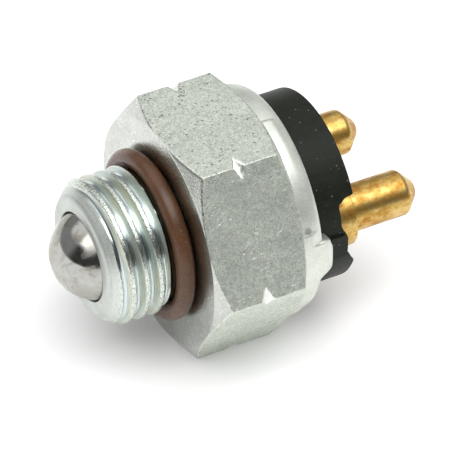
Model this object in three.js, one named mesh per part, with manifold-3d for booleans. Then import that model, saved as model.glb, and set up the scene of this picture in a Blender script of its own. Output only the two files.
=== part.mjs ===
// Ball-operated plunger switch: a threaded steel hex body with a spring-loaded ball in its nose,
// a moulded base crimped into its rear collar and two bullet terminals.
// Millimetres, +Z up. The axis lies along X, from the ball at -X to the terminals at +X.
// Stations along the axis are measured from the seat face, the hex face that meets the bored-out boss.
// Clock angles are measured about the axis from the -Y side, positive upwards.

import * as THREE from 'three';
import { mergeVertices } from 'three/addons/utils/BufferGeometryUtils.js';
import Module from 'manifold-3d';

const wasm = await Module();
wasm.setup();

// ---------------------------------------------------------------- driving dimensions

const HEX_ACROSS_FLATS = 22.2;
const HEX_CORNER_R = HEX_ACROSS_FLATS / Math.sqrt(3);
const HEX_FLAT_R = HEX_ACROSS_FLATS / 2;
const HEX_CORNER_FRONT = 1.0;
const HEX_CORNER_REAR = 8.5;
const HEX_END = 9.45;
const MARK_GROOVE = { station: 4.65, bottomR: 12.2, halfWidth: 1.2, topR: 13.4 };

const THREAD_PITCH = 25.4 / 18;
const THREAD_PHASE = 0.13;
const THREAD_CREST_R = 7.05;
const THREAD_ROOT_R = 6.33;
const THREAD_CREST_HALF = 0.18;
const THREAD_FLANK_HALF = 0.6;
const THREAD_ROOT_OVERLAP = 0.15;
const THREAD_END = -2.1;

const SEAL_RECESS = { outerR: 8.5, depth: 0.06 };
const SEAT_O_RING = { ringR: 7.36, wireR: 0.89 };

const NOSE_END = -7.9;
const NOSE_FLAT_R = 5.6;
const LIP_R = 4.32;
const LIP_LENGTH = 0.35;
const BORE_R = 4.6;
const BORE_START = -7.0;

const CHAMBER_START = 6.4;
const CHAMBER_R = 9.95;
const LIP_FRONT = 10.5;
const RIM = 11.5;
const RIM_ROUND = { backR: 10.4, edgeStation: 10.7 };
const RIM_INNER_R = 9.25;
const RIM_LOBE = { centre: 3, station: 10.25, radius: 2.15, innerR: 9.65, outerR: 11.05 };
const KEY = { from: -7, to: 8, outerR: 9.5, end: 14.7, clearance: 0.15, sideClearance: 2 };

const BALL_R = 4.45;
const BALL_CENTRE = -6.25;
const TRAVEL = 1.6;

const SEAT_R = 4.5;
const SEAT_EDGE_R = 3.3;
const PLUNGER_R = 4.45;
const PLUNGER_CHAMFER = 0.35;
const PLUNGER_BACK = 0.9;
const SEAL_GROOVE = { from: -0.95, to: 0.45, bottomR: 3.35 };
const PLUNGER_SEAL = { ringR: 3.98, wireR: 0.58 };
const STEM_R = 1.6;
const STEM_STEP = 7.5;
const STEM_TIP_R = 1.1;
const STEM_END = 11.55;
const CLIP_GROOVE = { from: 10.98, to: 11.37, bottomR: 0.8 };
const CLIP = { outerR: 2.2, from: -60, to: 240, clearance: 0.02 };
const RETURN_SPRING = { coilR: 2.75, wireR: 0.25, turns: 5 };

const BUSH_BACK = 7.1;
const BUSH_FRONT = 5.2;
const BUSH_BORE_R = 1.75;

const GASKET_INNER_R = 8.1;
const BASE_FRONT = 7.65;
const BASE_FLANGE_R = 9.75;
const BASE_FLANGE_BACK = 10.05;
const BASE_R = 9.1;
const BASE_BACK = 15.9;
const BASE_EDGE = 0.25;
const CAVITY_R = 7.9;
const CAVITY_BACK = STEM_END + TRAVEL + 0.05;
const POCKET_FLOOR = 14.25;
const POCKET_R = 4.45;
const NOTCH_TOP = 31;
const NOTCH_FOOT = { upper: 26.5, lower: -6 };
const NOTCH_BOTTOM = -21;

const TERMINAL_OFFSET = 5.55;
const TERMINAL_CLOCK = 5.5;
const PIN_R = 2.2;
const PIN_SHOULDER = 22.3;
const PIN_TIP = 23.75;
const PIN_TIP_R = 0.8;
const TERMINAL_FLANGE_R = 3.16;
const TERMINAL_FLANGE_BACK = 16.2;
const SHANK_R = 1.3;
const SHANK_HOLE_R = 1.45;

const BRIDGE = { front: 10.0, back: 10.5, halfLength: 7.2, halfWidth: 2.1, holeR: 1.95 };
const BRIDGE_WASHER_R = 2.9;
const CARRIER_FLANGE = { radius: 3.2, thickness: 0.5 };
const CONTACT_SPRING = { coilR: 2.3, wireR: 0.17, turns: 3 };
const BUTTON = { shankR: 0.6, holeR: 0.68, headR: 1.3, front: 9.95, seat: 10.52, back: 10.78 };
const RIVET_HEAD_R = 1.9;
const RIVET_WASHER_R = 2.25;
const RIVET_HEAD_FRONT = BUTTON.back + TRAVEL + 0.02;
const RIVET_HEAD_BACK = RIVET_HEAD_FRONT + 0.4;

const GAP = 0.05;
const FINE = 48;
const MEDIUM = 32;
const COARSE = 20;

// ---------------------------------------------------------------- geometry helpers

const radians = THREE.MathUtils.degToRad;

// One closed mesh with shared vertices, no collapsed triangles and its faces pointing out.
function closed(geometry) {
  const bare = new THREE.BufferGeometry();
  bare.setAttribute('position', geometry.getAttribute('position').clone());
  bare.setIndex(geometry.getIndex());
  const merged = mergeVertices(bare, 1e-4);
  const index = merged.getIndex().array;
  const kept = [];
  for (let i = 0; i < index.length; i += 3) {
    const [a, b, c] = [index[i], index[i + 1], index[i + 2]];
    if (a !== b && b !== c && a !== c) kept.push(a, b, c);
  }
  if (volume(merged, kept) < 0) {
    for (let i = 0; i < kept.length; i += 3) [kept[i], kept[i + 1]] = [kept[i + 1], kept[i]];
  }
  merged.setIndex(kept);
  return merged;
}

function volume(geometry, index) {
  const position = geometry.getAttribute('position');
  const corner = [0, 1, 2].map(() => new THREE.Vector3());
  let total = 0;
  for (let i = 0; i < index.length; i += 3) {
    corner.forEach((point, k) => point.fromBufferAttribute(position, index[i + k]));
    total += corner[0].dot(corner[1].cross(corner[2])) / 6;
  }
  return total;
}

function toManifold(geometry) {
  const mesh = closed(geometry);
  const vertProperties = new Float32Array(mesh.getAttribute('position').array);
  const triVerts = new Uint32Array(mesh.getIndex().array);
  return new wasm.Manifold(new wasm.Mesh({ numProp: 3, vertProperties, triVerts }));
}

function toGeometry(manifold) {
  const mesh = manifold.getMesh();
  const geometry = new THREE.BufferGeometry();
  geometry.setAttribute('position', new THREE.BufferAttribute(new Float32Array(mesh.vertProperties), 3));
  geometry.setIndex(new THREE.BufferAttribute(new Uint32Array(mesh.triVerts), 1));
  return geometry;
}

// A solid of revolution about the X axis from [station, radius] points.
function turned(profile, segments = MEDIUM) {
  const points = profile.map(([station, radius]) => new THREE.Vector2(radius, station));
  return new THREE.LatheGeometry(points, segments).rotateZ(-Math.PI / 2);
}

// A ring or washer of rectangular section.
function ring(innerR, outerR, from, to, segments = MEDIUM) {
  const corners = [[from, innerR], [from, outerR], [to, outerR], [to, innerR], [from, innerR]];
  return turned(corners, segments);
}

function rod(radius, from, to, segments = COARSE) {
  return turned([[from, 0], [from, radius], [to, radius], [to, 0]], segments);
}

// A torus about the X axis.
function toroid({ ringR, wireR }, station, sides) {
  const section = [];
  for (let i = 0; i <= sides; i++) {
    const angle = (i % sides) * 2 * Math.PI / sides;
    section.push([station + wireR * Math.sin(angle), ringR + wireR * Math.cos(angle)]);
  }
  return turned(section);
}

// A flat outline in the plane across the axis, pushed along the axis. Outline points are [y, z].
function pushed(shape, from, to, curveSegments = 12) {
  const options = { depth: to - from, bevelEnabled: false, curveSegments };
  return new THREE.ExtrudeGeometry(shape, options).rotateY(Math.PI / 2).rotateX(Math.PI / 2)
    .translate(from, 0, 0);
}

// Part of a ring between two clock angles.
function sector(innerR, outerR, clockFrom, clockTo, from, to) {
  const steps = Math.max(3, Math.ceil(Math.abs(clockTo - clockFrom) / 6));
  const stepClock = (clockTo - clockFrom) / steps;
  const clocks = Array.from({ length: steps + 1 }, (_, i) => clockFrom + stepClock * i);
  const outline = [
    ...clocks.map((clock) => polar(outerR, clock)),
    ...clocks.reverse().map((clock) => polar(innerR, clock)),
  ];
  return pushed(new THREE.Shape(outline), from, to);
}

// The [y, z] point at a radius and clock angle.
function polar(radius, clock) {
  return new THREE.Vector2(-radius * Math.cos(radians(clock)), radius * Math.sin(radians(clock)));
}

// A helix about the X axis whose end turns lie flat.
class SpringPath extends THREE.Curve {
  constructor(radius, from, to, turns) {
    super();
    Object.assign(this, { radius, from, to, turns });
  }

  getPoint(t, target = new THREE.Vector3()) {
    const flat = 0.7 / this.turns;
    const rise = THREE.MathUtils.clamp((t - flat) / (1 - 2 * flat), 0, 1);
    const angle = 2 * Math.PI * this.turns * t;
    const station = THREE.MathUtils.lerp(this.from, this.to, rise);
    return target.set(station, this.radius * Math.cos(angle), this.radius * Math.sin(angle));
  }
}

// A coil spring of round wire that fills the stations from one end to the other.
function coilSpring({ coilR, wireR, turns }, from, to) {
  const section = new THREE.Shape();
  section.absarc(0, 0, wireR, 0, 2 * Math.PI);
  const extrudePath = new SpringPath(coilR, from + wireR, to - wireR, turns);
  return new THREE.ExtrudeGeometry(section, { steps: turns * 12, curveSegments: 3, extrudePath });
}

// ---------------------------------------------------------------- the pieces

// The ridge of the screw thread: one trapezium section swept along a right-hand helix.
function threadRidge() {
  const start = NOSE_END - THREAD_PITCH * (1 + THREAD_PHASE);
  const steps = Math.ceil((THREAD_END + THREAD_PITCH - start) / THREAD_PITCH * FINE);
  const footR = THREAD_ROOT_R - THREAD_ROOT_OVERLAP;
  const slope = (THREAD_FLANK_HALF - THREAD_CREST_HALF) / (THREAD_CREST_R - THREAD_ROOT_R);
  const footHalf = THREAD_FLANK_HALF + slope * THREAD_ROOT_OVERLAP;
  const section = [
    [-footHalf, footR],
    [-THREAD_CREST_HALF, THREAD_CREST_R],
    [THREAD_CREST_HALF, THREAD_CREST_R],
    [footHalf, footR],
  ];
  const positions = [];
  const index = [];
  for (let i = 0; i <= steps; i++) {
    const angle = 2 * Math.PI * i / FINE;
    const station = start + THREAD_PITCH * i / FINE;
    for (const [offset, radius] of section) {
      positions.push(station + offset, radius * Math.cos(angle), radius * Math.sin(angle));
    }
  }
  const sides = section.length;
  for (let i = 0; i < steps; i++) {
    for (let k = 0; k < sides; k++) {
      const [a, b] = [i * sides + k, i * sides + (k + 1) % sides];
      index.push(a, b, b + sides, a, b + sides, a + sides);
    }
  }
  const last = steps * sides;
  index.push(0, 2, 1, 0, 3, 2, last, last + 1, last + 2, last, last + 2, last + 3);
  const geometry = new THREE.BufferGeometry();
  geometry.setAttribute('position', new THREE.Float32BufferAttribute(positions, 3));
  geometry.setIndex(index);
  return geometry;
}

function housing() {
  const leadLength = THREAD_CREST_R - NOSE_FLAT_R;
  const threadSpace = turned([
    [NOSE_END, 0], [NOSE_END, NOSE_FLAT_R], [NOSE_END + leadLength, THREAD_CREST_R + GAP],
    [THREAD_END - 0.2, THREAD_CREST_R + GAP], [THREAD_END, THREAD_CREST_R - 0.2], [THREAD_END, 0],
  ], FINE);
  const core = turned([
    [NOSE_END, 0], [NOSE_END, NOSE_FLAT_R], [NOSE_END + THREAD_ROOT_R - NOSE_FLAT_R, THREAD_ROOT_R],
    [1, THREAD_ROOT_R], [1, 0],
  ], FINE);
  const hexLimits = turned([
    [SEAL_RECESS.depth, 0], [SEAL_RECESS.depth, SEAL_RECESS.outerR], [0, SEAL_RECESS.outerR],
    [0, HEX_FLAT_R], [HEX_CORNER_FRONT, HEX_CORNER_R + GAP],
    [HEX_CORNER_REAR, HEX_CORNER_R + GAP], [HEX_END, HEX_FLAT_R], [HEX_END, 0], [SEAL_RECESS.depth, 0],
  ], FINE);
  const prism = new THREE.CylinderGeometry(HEX_CORNER_R, HEX_CORNER_R, HEX_END, 6)
    .rotateZ(-Math.PI / 2).rotateX(Math.PI / 6).translate(HEX_END / 2, 0, 0);
  const collar = turned([
    [HEX_END - 1, 0], [HEX_END - 1, HEX_FLAT_R], [RIM_ROUND.edgeStation, HEX_FLAT_R],
    [RIM - 0.25, (HEX_FLAT_R + RIM_ROUND.backR) / 2 + 0.1], [RIM, RIM_ROUND.backR], [RIM, 0],
  ], FINE);
  const { station, bottomR, halfWidth, topR } = MARK_GROOVE;
  const markGroove = turned([
    [station, bottomR], [station - halfWidth, topR], [station + halfWidth, topR], [station, bottomR],
  ], FINE);
  const bore = turned([
    [NOSE_END - 1, 0], [NOSE_END - 1, LIP_R], [NOSE_END + LIP_LENGTH, LIP_R], [BORE_START, BORE_R],
    [CHAMBER_START, BORE_R], [CHAMBER_START, CHAMBER_R], [LIP_FRONT, CHAMBER_R],
    [LIP_FRONT, RIM_INNER_R], [RIM + 2, RIM_INNER_R], [RIM + 2, 0],
  ], FINE);
  return toGeometry(
    toManifold(threadRidge()).intersect(toManifold(threadSpace))
      .add(toManifold(core))
      .add(toManifold(prism).intersect(toManifold(hexLimits)).subtract(toManifold(markGroove)))
      .add(toManifold(collar))
      .add(rimLobe())
      .subtract(toManifold(bore))
      .subtract(keySlot(LIP_FRONT - 1, RIM + 2)),
  );
}

// The tongue where the crimped rim stands back over the base's key.
function rimLobe() {
  const { centre, station, radius, innerR, outerR } = RIM_LOBE;
  const span = Math.ceil(THREE.MathUtils.radToDeg(radius / innerR)) + 4;
  const band = sector(innerR, outerR, centre - span, centre + span, LIP_FRONT, RIM + 2);
  const round = new THREE.CylinderGeometry(radius, radius, 2 * outerR, 32)
    .translate(0, -outerR, 0).rotateX(-radians(centre)).translate(station, 0, 0);
  return toManifold(band).intersect(toManifold(round));
}

// The way through the crimped rim that the base's key needs.
function keySlot(from, to) {
  const slotR = KEY.outerR + KEY.clearance;
  const [clockFrom, clockTo] = [KEY.from - KEY.sideClearance, KEY.to + KEY.sideClearance];
  return toManifold(sector(BASE_R - 1, slotR, clockFrom, clockTo, from, to));
}

function plunger() {
  const seat = [];
  const steps = 7;
  const edge = Math.asin(SEAT_EDGE_R / SEAT_R);
  for (let i = 0; i <= steps; i++) {
    const angle = edge * i / steps;
    seat.push([BALL_CENTRE + SEAT_R * Math.cos(angle), SEAT_R * Math.sin(angle)]);
  }
  const front = seat[steps][0];
  return turned([
    ...seat,
    [front, PLUNGER_R - PLUNGER_CHAMFER], [front + PLUNGER_CHAMFER, PLUNGER_R],
    [SEAL_GROOVE.from, PLUNGER_R], [SEAL_GROOVE.from, SEAL_GROOVE.bottomR],
    [SEAL_GROOVE.to, SEAL_GROOVE.bottomR], [SEAL_GROOVE.to, PLUNGER_R],
    [PLUNGER_BACK, PLUNGER_R], [PLUNGER_BACK, STEM_R],
    [STEM_STEP, STEM_R], [STEM_STEP, STEM_TIP_R],
    [CLIP_GROOVE.from, STEM_TIP_R], [CLIP_GROOVE.from, CLIP_GROOVE.bottomR],
    [CLIP_GROOVE.to, CLIP_GROOVE.bottomR], [CLIP_GROOVE.to, STEM_TIP_R],
    [STEM_END - GAP, STEM_TIP_R], [STEM_END, STEM_TIP_R - GAP], [STEM_END, 0],
  ]);
}

function guideBush() {
  const sleeveR = BORE_R - 2 * GAP;
  const flangeR = CHAMBER_R - 5 * GAP;
  return turned([
    [BUSH_FRONT, BUSH_BORE_R], [BUSH_FRONT, sleeveR], [CHAMBER_START + GAP, sleeveR],
    [CHAMBER_START + GAP, flangeR], [BUSH_BACK, flangeR], [BUSH_BACK, BUSH_BORE_R],
    [BUSH_FRONT, BUSH_BORE_R],
  ]);
}

// The moulded base: a cup with a flange under the crimp, a key on its side, and round pockets
// about the terminals that break out through its wall.
function insulatorBase() {
  const cup = turned([
    [BASE_FRONT, CAVITY_R], [BASE_FRONT, BASE_FLANGE_R], [BASE_FLANGE_BACK, BASE_FLANGE_R],
    [BASE_FLANGE_BACK, BASE_R], [BASE_BACK - BASE_EDGE, BASE_R], [BASE_BACK, BASE_R - BASE_EDGE],
    [BASE_BACK, 0], [CAVITY_BACK, 0], [CAVITY_BACK, CAVITY_R], [BASE_FRONT, CAVITY_R],
  ], FINE);
  let base = toManifold(cup);
  for (const half of [0, Math.PI]) {
    const turn = (geometry) => toManifold(geometry.rotateX(half));
    const [y, z] = polar(TERMINAL_OFFSET, TERMINAL_CLOCK).toArray();
    base = base.subtract(turn(rod(POCKET_R, POCKET_FLOOR, BASE_BACK + 1, MEDIUM).translate(0, y, z)));
    base = base.subtract(turn(rod(SHANK_HOLE_R, CAVITY_BACK - 1, BASE_BACK, COARSE).translate(0, y, z)));
    base = base.subtract(turn(pocketNotch()));
  }
  const key = sector(BASE_R - 0.4, KEY.outerR, KEY.from, KEY.to, BASE_FLANGE_BACK - 1, KEY.end);
  return toGeometry(base.add(toManifold(key)));
}

// The gap where a pocket breaks out through the wall, as an outline of clock angle against station.
function pocketNotch() {
  const top = BASE_BACK + 0.5;
  const outline = [
    [NOTCH_TOP, top], [NOTCH_FOOT.upper, POCKET_FLOOR], [NOTCH_FOOT.lower, POCKET_FLOOR],
    [NOTCH_FOOT.lower - 2, POCKET_FLOOR + 0.6], [NOTCH_BOTTOM, BASE_BACK - 0.05], [NOTCH_BOTTOM, top],
  ];
  const flat = outline.map(([clock, station]) => new THREE.Vector2(station, radians(clock) * BASE_R));
  const wallFrom = BASE_R - 1.6;
  const options = { depth: 3, bevelEnabled: false };
  const geometry = new THREE.ExtrudeGeometry(new THREE.Shape(flat), options);
  const position = geometry.getAttribute('position');
  for (let i = 0; i < position.count; i++) {
    const clock = THREE.MathUtils.radToDeg(position.getY(i) / BASE_R);
    const point = polar(wallFrom + position.getZ(i), clock);
    position.setXYZ(i, position.getX(i), point.x, point.y);
  }
  return geometry;
}

function terminal(pin) {
  const peen = 0.12;
  return turned([
    [RIVET_HEAD_FRONT, 0], [RIVET_HEAD_FRONT, RIVET_HEAD_R - 2 * peen],
    [RIVET_HEAD_FRONT + peen, RIVET_HEAD_R], [RIVET_HEAD_BACK, RIVET_HEAD_R],
    [RIVET_HEAD_BACK, SHANK_R], [POCKET_FLOOR + GAP, SHANK_R],
    [POCKET_FLOOR + GAP, TERMINAL_FLANGE_R - 0.15], [POCKET_FLOOR + 0.2, TERMINAL_FLANGE_R],
    [TERMINAL_FLANGE_BACK, TERMINAL_FLANGE_R], [TERMINAL_FLANGE_BACK, PIN_R],
    [PIN_SHOULDER, PIN_R], [PIN_TIP - 0.15, PIN_TIP_R + 0.12], [PIN_TIP, PIN_TIP_R - 0.25],
    [PIN_TIP, 0],
  ], COARSE).translate(0, pin.x, pin.y);
}

function contactBridge() {
  const { front, back, halfLength, halfWidth, holeR } = BRIDGE;
  const shape = new THREE.Shape();
  const arcCentre = halfLength - halfWidth;
  shape.absarc(arcCentre, 0, halfWidth, -Math.PI / 2, Math.PI / 2);
  shape.absarc(-arcCentre, 0, halfWidth, Math.PI / 2, 3 * Math.PI / 2);
  const holes = [[0, holeR], [TERMINAL_OFFSET, BUTTON.holeR], [-TERMINAL_OFFSET, BUTTON.holeR]];
  for (const [across, radius] of holes) {
    const hole = new THREE.Path();
    hole.absarc(across, 0, radius, 0, 2 * Math.PI);
    shape.holes.push(hole);
  }
  return pushed(shape, front, back).rotateX(-radians(TERMINAL_CLOCK));
}

function contactButton(pin) {
  const { shankR, headR, front, seat, back } = BUTTON;
  return turned([
    [front, 0], [front, shankR], [seat, shankR], [seat, headR],
    [back - 0.1, headR], [back, headR - 0.2], [back, 0],
  ], COARSE).translate(0, pin.x, pin.y);
}

function bridgeCarrier() {
  const boreR = STEM_TIP_R + GAP;
  const sleeveR = BRIDGE.holeR - 4 * GAP;
  const { radius, thickness } = CARRIER_FLANGE;
  const flangeBack = STEM_STEP + thickness;
  return turned([
    [STEM_STEP + GAP, boreR], [STEM_STEP + GAP, radius], [flangeBack, radius], [flangeBack, sleeveR],
    [BRIDGE.back, sleeveR], [BRIDGE.back, boreR], [STEM_STEP + GAP, boreR],
  ], COARSE);
}

function bridgeWasher() {
  return ring(STEM_TIP_R + GAP, BRIDGE_WASHER_R, BRIDGE.back + GAP, CLIP_GROOVE.from - GAP, COARSE);
}

function stemClip() {
  const { outerR, from, to, clearance } = CLIP;
  const innerR = CLIP_GROOVE.bottomR + GAP;
  return sector(innerR, outerR, from, to, CLIP_GROOVE.from + clearance, CLIP_GROOVE.to - clearance);
}

function rivetWasher(pin) {
  const [from, to] = [RIVET_HEAD_BACK + GAP, CAVITY_BACK - GAP];
  return ring(SHANK_HOLE_R, RIVET_WASHER_R, from, to, COARSE).translate(0, pin.x, pin.y);
}

function crimpWasher() {
  const [from, to] = [BASE_FLANGE_BACK + GAP, LIP_FRONT - GAP];
  const washer = toManifold(ring(RIM_INNER_R + GAP, CHAMBER_R - 2 * GAP, from, to));
  return toGeometry(washer.subtract(keySlot(from - 1, to + 1)));
}

// ---------------------------------------------------------------- materials and assembly

const finishes = {
  zinc: { color: 0xc9ccc8, roughness: 0.35, metalness: 1.0 },
  polishedSteel: { color: 0xd4d2cf, roughness: 0.08, metalness: 1.0 },
  springSteel: { color: 0x9a9da0, roughness: 0.35, metalness: 1.0 },
  brass: { color: 0xc79a45, roughness: 0.3, metalness: 1.0 },
  silver: { color: 0xdedad2, roughness: 0.25, metalness: 1.0 },
  brownRubber: { color: 0x64412f, roughness: 0.55, metalness: 0.0 },
  blackRubber: { color: 0x1c1c1c, roughness: 0.6, metalness: 0.0 },
  phenolic: { color: 0x161715, roughness: 0.4, metalness: 0.0 },
  nylon: { color: 0xd8d2bf, roughness: 0.5, metalness: 0.0 },
  fibre: { color: 0x8c3b28, roughness: 0.8, metalness: 0.0 },
};

const group = new THREE.Group();
group.position.set(-(BALL_CENTRE - BALL_R + PIN_TIP) / 2, 0, HEX_FLAT_R);

function place(name, geometry, finish) {
  const mesh = new THREE.Mesh(closed(geometry), new THREE.MeshStandardMaterial(finishes[finish]));
  mesh.name = name;
  group.add(mesh);
}

const nearPin = polar(TERMINAL_OFFSET, TERMINAL_CLOCK);
const pins = { near: nearPin, far: nearPin.clone().negate() };

const sealStation = (SEAL_GROOVE.from + SEAL_GROOVE.to) / 2;
const flangeBack = STEM_STEP + CARRIER_FLANGE.thickness;

place('housing', housing(), 'zinc');
place('seat_o_ring', toroid(SEAT_O_RING, -SEAT_O_RING.wireR - GAP, 12), 'brownRubber');
place('ball', new THREE.SphereGeometry(BALL_R, 24, 16).translate(BALL_CENTRE, 0, 0), 'polishedSteel');
place('plunger', plunger(), 'springSteel');
place('plunger_seal', toroid(PLUNGER_SEAL, sealStation, 8), 'blackRubber');
place('return_spring', coilSpring(RETURN_SPRING, PLUNGER_BACK + GAP, BUSH_FRONT - GAP), 'springSteel');
place('guide_bush', guideBush(), 'brass');
place('base_gasket', ring(GASKET_INNER_R, BASE_FLANGE_R, BUSH_BACK + GAP, BASE_FRONT - GAP), 'fibre');
place('insulator_base', insulatorBase(), 'phenolic');
place('crimp_washer', crimpWasher(), 'fibre');
place('bridge_carrier', bridgeCarrier(), 'nylon');
place('contact_spring', coilSpring(CONTACT_SPRING, flangeBack + GAP, BRIDGE.front - GAP), 'springSteel');
place('contact_bridge', contactBridge(), 'brass');
place('bridge_washer', bridgeWasher(), 'nylon');
place('stem_clip', stemClip(), 'springSteel');
for (const [side, pin] of Object.entries(pins)) {
  place(`terminal_${side}`, terminal(pin), 'brass');
  place(`rivet_washer_${side}`, rivetWasher(pin), 'brass');
  place(`contact_button_${side}`, contactButton(pin), 'silver');
}

export default group;
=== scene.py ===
"""The looks of a ball-operated plunger switch: a plated steel hex body, moulded base and brass terminals.

Millimetres inside this script, metres in the scene. The axis lies along X. A station is a distance along
the axis from the seat face, positive towards the terminals. A clock angle is measured about the axis from
the -Y side, positive upwards.
"""

import math

import bmesh
import bpy
import numpy as np
from mathutils import Matrix, Vector


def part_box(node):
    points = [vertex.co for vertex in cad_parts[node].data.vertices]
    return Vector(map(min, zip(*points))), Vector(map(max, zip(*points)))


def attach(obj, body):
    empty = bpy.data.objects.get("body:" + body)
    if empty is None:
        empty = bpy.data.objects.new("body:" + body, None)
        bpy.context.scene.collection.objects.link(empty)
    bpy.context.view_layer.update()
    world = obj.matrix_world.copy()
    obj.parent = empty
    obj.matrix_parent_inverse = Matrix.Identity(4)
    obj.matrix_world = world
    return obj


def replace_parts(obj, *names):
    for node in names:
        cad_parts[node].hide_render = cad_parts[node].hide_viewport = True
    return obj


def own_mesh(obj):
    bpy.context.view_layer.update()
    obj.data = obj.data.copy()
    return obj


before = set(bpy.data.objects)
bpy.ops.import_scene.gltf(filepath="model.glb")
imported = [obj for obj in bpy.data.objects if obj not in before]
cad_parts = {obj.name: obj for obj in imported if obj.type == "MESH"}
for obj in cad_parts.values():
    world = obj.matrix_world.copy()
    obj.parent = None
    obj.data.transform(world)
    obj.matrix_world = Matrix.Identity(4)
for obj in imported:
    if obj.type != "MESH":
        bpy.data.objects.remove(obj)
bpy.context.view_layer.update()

MM = 0.001

# ---- sizes taken from the frame

NOSE_END = -7.9
SEAT_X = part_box("housing")[0].x - NOSE_END * MM
AXIS_Z = (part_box("ball")[0].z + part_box("ball")[1].z) / 2


def stations(node):
    """The first and last station of a CAD node."""
    low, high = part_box(node)
    return (low.x - SEAT_X) / MM, (high.x - SEAT_X) / MM


def outer_radius(node):
    """The largest radius of a CAD node that is round about the axis."""
    low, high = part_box(node)
    return (high.z - low.z) / 2 / MM


def centre_of(node):
    """A CAD node's centre across the axis, as (y, z) from the axis."""
    low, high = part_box(node)
    return (low.y + high.y) / 2 / MM, ((low.z + high.z) / 2 - AXIS_Z) / MM


# ---- driving dimensions

HEX_FLAT_R = outer_radius("housing")
HEX_CORNER_R = HEX_FLAT_R / math.cos(math.radians(30))
HEX_CORNER_FRONT = 1.0
HEX_CORNER_REAR = 8.5
HEX_END = 9.45
HEX_EDGE = 0.12
HEX_CORNER_EDGE = 0.07
NICK_STATION = 4.65
NICK_BOTTOM_R = 12.2
DENT_CLOCK, DENT_STATION = 57.5, 4.9
DENT_R, DENT_DEPTH = 0.35, 0.1

THREAD_PITCH = 25.4 / 18
THREAD_CREST_R = 7.05
THREAD_ROOT_R = 6.33
THREAD_CREST_HALF = 0.18
THREAD_FLANK_HALF = 0.6
THREAD_ROOT_FILLET = 0.28
THREAD_END = -2.1
THREAD_PHASE = 0.13
LEAD_TORN_FROM, LEAD_TORN_TO = 6.25, 6.55
SEAL_RECESS_R = 8.5
SEAL_RECESS_DEPTH = 0.06
O_RING_WIRE_R = 0.89

NOSE_FLAT_R = 5.6
LIP_R = 4.32
LIP_LENGTH = 0.35
BORE_R = 4.6
BORE_START = -7.0
CHAMBER_START = 6.4
CHAMBER_R = 9.95
LIP_FRONT = 10.5
RIM = 11.5
RIM_BACK_R = 10.35
RIM_LIP = 11.2
RIM_INNER_R = 9.25
KEY_SLOT_R = 9.65
# Left by crimping the rim: the swells and the lobe over the key. Also a painted shadow above one swell's
# ledge, as (clock, station, radius).
PAD_HALF = 21
PAD_HEIGHT = 0.13
LOBE_FROM, LOBE_TO = -10.5, 14.6
LOBE_STAND = 1.03
COLLAR_PAINTED_SHADOW = (22.6, 9.95, 0.42)

KEY_FROM, KEY_TO = -7.0, 8.0
KEY_R = 9.5
KEY_END = 14.7
KEY_CORNER = 0.3

BASE_FRONT, BASE_BACK = stations("insulator_base")
BASE_FLANGE_R = outer_radius("insulator_base")
BASE_FLANGE_BACK = 10.05
BASE_R = 9.15
CAVITY_R = 7.9
CAVITY_BACK = 13.2
POCKET_FLOOR = 14.25
POCKET_R = 4.45
POCKET_LIMIT_R = 8.8
WALL_STEP = 0.3
# The notch laid flat on the wall: (distance round the wall, depth below the rear face, fillet).
NOTCH_CORNERS = (
    (5.0, -0.5), (4.9, -0.02), (4.73, 0.9, 0.1), (4.22, 1.65, 0.15), (1.95, 1.62, 0.4), (0.95, 1.03, 0.4),
    (-1.05, 1.0, 0.15), (-1.7, 0.6, 0.3), (-2.85, 0.05, 0.1), (-3.03, -0.5),
)

PIN_R = 2.2
PIN_SHOULDER = 22.3
PIN_TIP = stations("terminal_near")[1]
TERMINAL_FLANGE_R = outer_radius("terminal_near")
TERMINAL_FLANGE_BACK = 16.2
SHANK_R = 1.3
SHANK_HOLE_R = 1.45
RIVET_HEAD_R = 1.9
RIVET_HEAD_BACK = 12.8

BALL_R = outer_radius("ball")
BALL_CENTRE = sum(stations("ball")) / 2
BALL_GRID = 33
SEAT_R = 4.5
SEAT_EDGE_R = 3.3
PLUNGER_R = 4.45
PLUNGER_CHAMFER = 0.35
PLUNGER_BACK = 0.9
SEAL_GROOVE_FRONT, SEAL_GROOVE_BACK = -0.95, 0.45
SEAL_GROOVE_R = 3.35
SEAL_WIRE_R = 0.58
STEM_R = 1.6
STEM_STEP = 7.5
STEM_TIP_R = 1.1
STEM_END = 11.55
CLIP_GROOVE_FRONT, CLIP_GROOVE_BACK = 10.98, 11.37
CLIP_GROOVE_R = 0.8
CLIP_INNER_R, CLIP_OUTER_R = 0.85, 2.2
CLIP_FROM, CLIP_TO = -60, 240
BUSH_BORE_R = 1.75
GASKET_INNER_R = 8.1
CRIMP_WASHER_R = 9.3
KEY_SIDE_CLEARANCE = 2
CARRIER_BORE_R, CARRIER_SLEEVE_R = 1.15, 1.75
CARRIER_FLANGE_BACK = 8.0
BRIDGE_HALF_LENGTH, BRIDGE_HALF_WIDTH = 7.2, 2.1
BRIDGE_HOLE_R, BUTTON_HOLE_R = 1.95, 0.68
BUTTON_SHANK_R, BUTTON_HEAD_R, BUTTON_SEAT = 0.6, 1.3, 10.52
TERMINAL_OFFSET = 5.55
TERMINAL_CLOCK = 5.5

# ---- mesh helpers


def clocks_of(segments):
    """Evenly spaced clock angles once round the axis."""
    return np.arange(segments) * 360.0 / segments


def in_row_frame(station, radius, clock, centre=(0.0, 0.0)):
    """Points in metres from stations, radii and clock angles about an axis through centre."""
    angle = np.radians(clock)
    x = SEAT_X + station * MM
    y = (centre[0] - radius * np.cos(angle)) * MM
    z = AXIS_Z + (centre[1] + radius * np.sin(angle)) * MM
    return np.stack(np.broadcast_arrays(x, y, z), axis=-1)


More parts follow.
